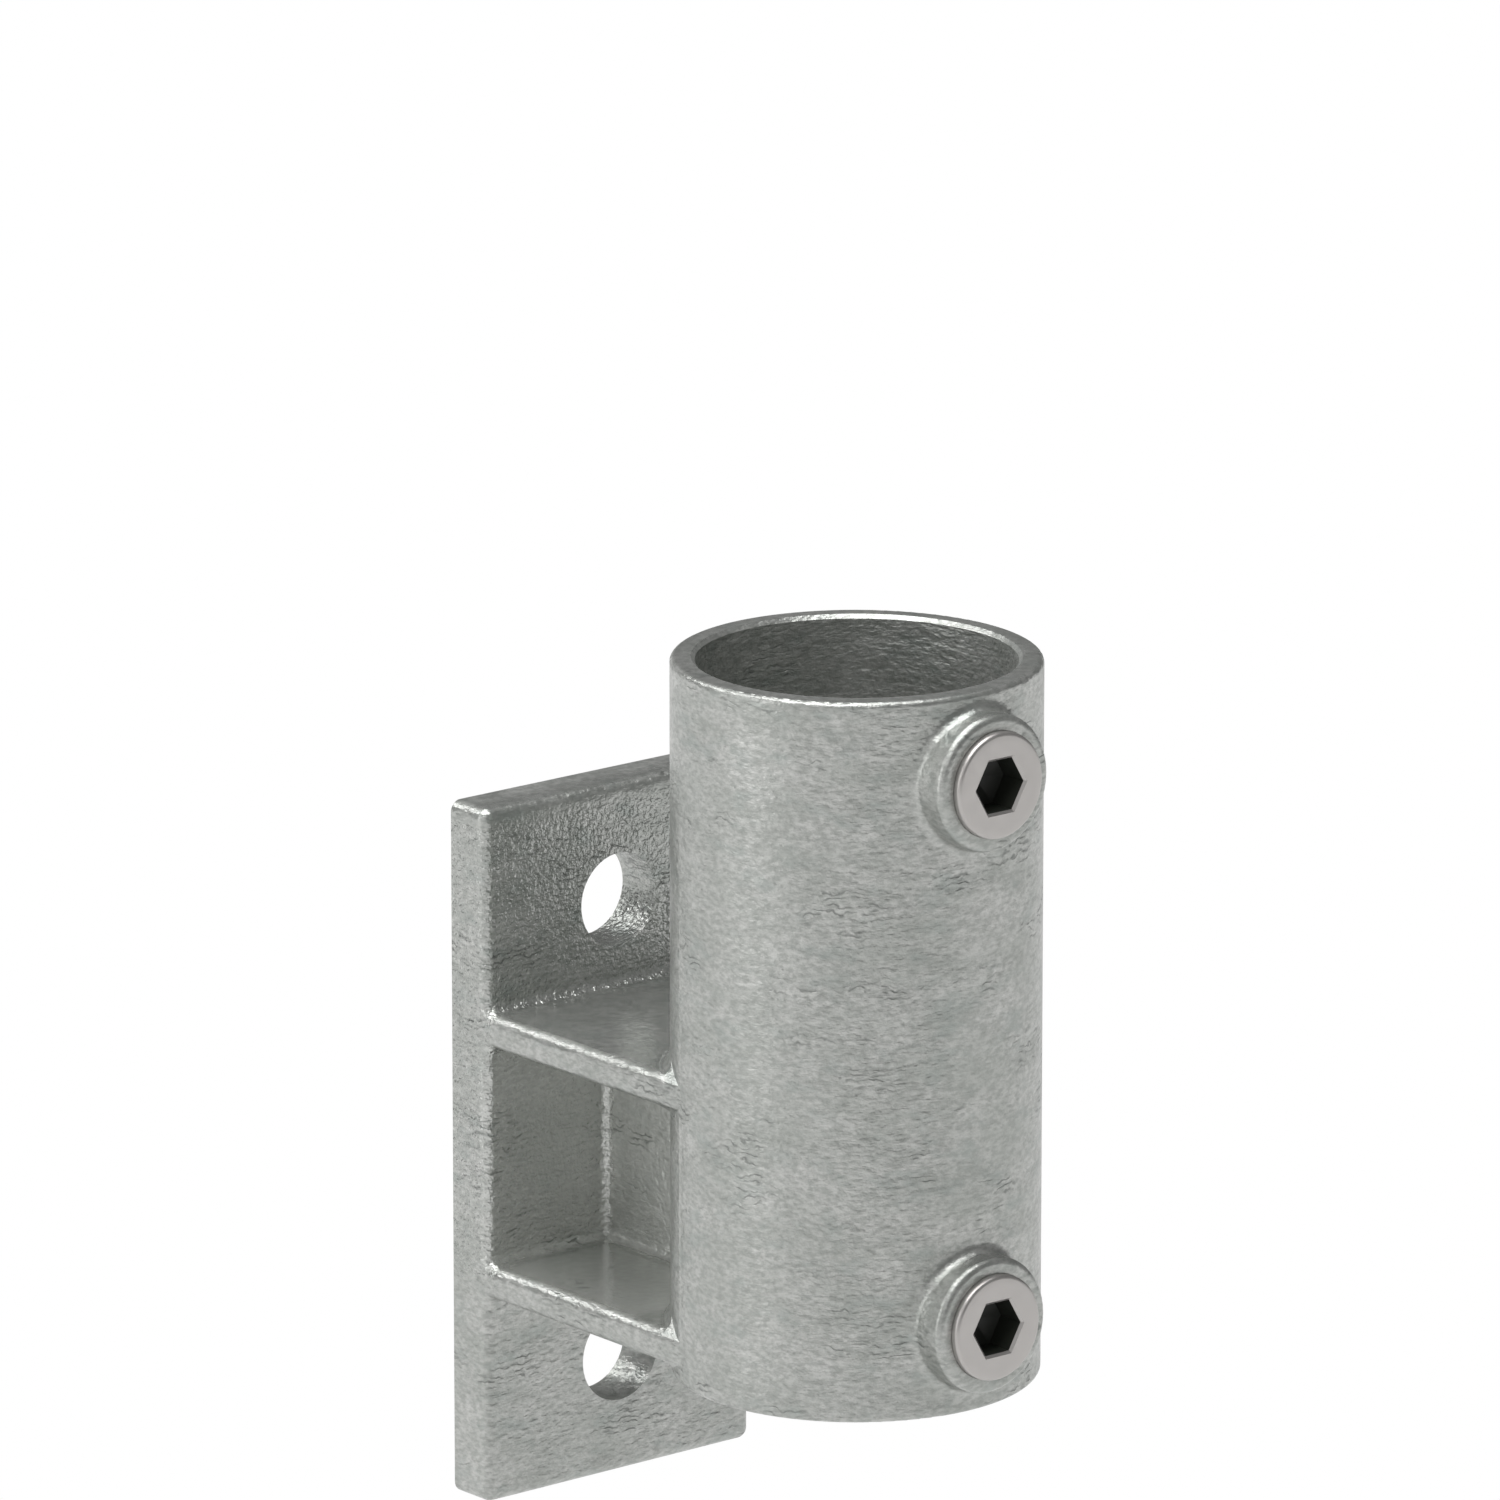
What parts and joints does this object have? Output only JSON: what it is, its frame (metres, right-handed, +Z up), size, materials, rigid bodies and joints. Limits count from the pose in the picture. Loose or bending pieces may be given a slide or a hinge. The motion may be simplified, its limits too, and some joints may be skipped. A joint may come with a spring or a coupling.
{
  "type": "tube wall bracket",
  "caption": "Galvanised cast wall bracket: a drilled wall plate with webs and a rib carries an upright through socket, and bossed set screws clamp a round tube in it.",
  "frame": {"origin": "on the wall face of the plate, midway between the centres of the bolt holes", "axes": "+Y into the wall, +Z up along the tube, +X across the plate; the socket stands out towards -Y"},
  "size_m": [0.057, 0.0999, 0.1448],
  "materials": {
    "galvanised_casting": "hot-dip galvanised casting: mottled light grey, fine grain, bright on its round edges",
    "screw_steel": "smooth satin plated steel"
  },
  "bodies": {
    "root": {"bracket_body": "galvanised_casting", "set_screws": "screw_steel"}
  },
  "joints": []
}
